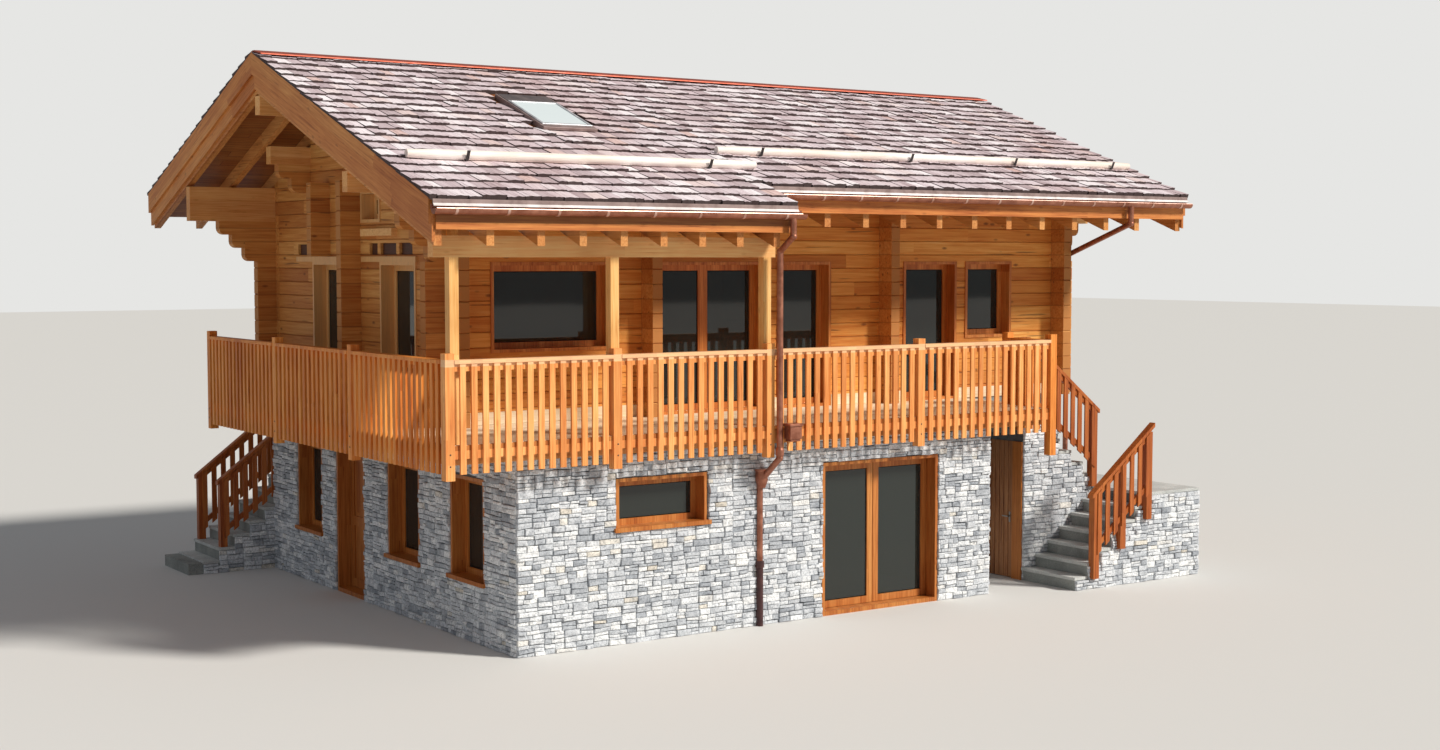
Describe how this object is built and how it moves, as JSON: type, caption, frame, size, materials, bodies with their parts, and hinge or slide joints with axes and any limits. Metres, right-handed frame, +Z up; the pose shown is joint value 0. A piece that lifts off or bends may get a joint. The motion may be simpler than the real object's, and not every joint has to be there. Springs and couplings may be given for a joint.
{
  "type": "alpine chalet",
  "caption": "Two-storey alpine chalet with a masonry ground storey, a squared-log upper storey, a wrap-round balcony and a low gable roof.",
  "frame": {"origin": "centre of the building's outline on the ground", "axes": "+X along the front to the right, +Y from the front towards the rear, +Z up"},
  "size_m": [13.43, 10.68, 7.775],
  "materials": {
    "stone": "split coursed stone",
    "concrete": "plain concrete",
    "larch": "oiled larch",
    "larch_dark": "oiled larch",
    "boarding": "stained boards",
    "decking": "plain boards",
    "roofing": "weathered split shingles",
    "copper": "weathered copper",
    "glass": "clear"
  },
  "bodies": {
    "house": {"ground_floor": "concrete", "front_walls": "stone", "side_walls": "stone", "rear_wall": "stone", "right_walls": "stone", "porch_back_wall": "stone", "lintels": "stone", "upper_floor": "concrete", "terrace_floor": "concrete", "log_wall_front": "larch", "log_wall_left": "larch", "log_wall_right": "larch", "log_wall_rear": "larch", "log_ends": "larch", "corbels": "larch", "purlins": "larch", "rafters_front": "larch", "rafters_rear": "larch", "roof_front": "roofing", "roof_rear": "roofing", "ridge_cap": "copper", "bargeboards_front": "larch", "bargeboards_rear": "larch", "fascias": "larch", "gutters": "copper", "downpipes": "copper", "snow_guards": "larch", "skylight": "copper", "veranda_posts": "larch", "veranda_beams": "larch", "deck": "decking", "deck_beams": "larch", "railing_front": "larch_dark", "railing_left": "larch_dark", "railing_right": "larch_dark", "railing_upper_stair": "larch_dark", "railing_lower_stair": "larch_dark", "railing_rear_stair": "larch_dark", "stair_lower": "concrete", "stair_upper": "concrete", "stair_landing": "stone", "store_front_wall": "stone", "store_door_wall": "stone", "stair_rear": "concrete", "ground_frames": "larch", "ground_glass": "glass", "door_jambs": "larch", "door_heads": "larch", "upper_frames": "larch", "upper_glass": "glass"},
    "patio_door_left": {"patio_leaf_left": "larch", "patio_pane_left": "glass"},
    "patio_door_right": {"patio_leaf_right": "larch", "patio_pane_right": "glass"},
    "side_entrance_door": {"side_door": "larch"},
    "store_room_door": {"store_door": "boarding"}
  },
  "joints": [
    {"name": "patio_left_hinge", "type": "hinge", "parent": "house", "child": "patio_door_left", "pos_m": [-0.536, -4.31, 1], "axis": [0, 0, 1], "range_deg": [0, 90]},
    {"name": "patio_right_hinge", "type": "hinge", "parent": "house", "child": "patio_door_right", "pos_m": [1.412, -4.31, 1], "axis": [0, 0, -1], "range_deg": [0, 90]},
    {"name": "side_door_hinge", "type": "hinge", "parent": "house", "child": "side_entrance_door", "pos_m": [-5.03, 0.964, 1], "axis": [0, 0, 1], "range_deg": [0, 90]},
    {"name": "store_door_hinge", "type": "hinge", "parent": "house", "child": "store_room_door", "pos_m": [3.658, -3.031, 1], "axis": [0, 0, -1], "range_deg": [0, 90]}
  ]
}
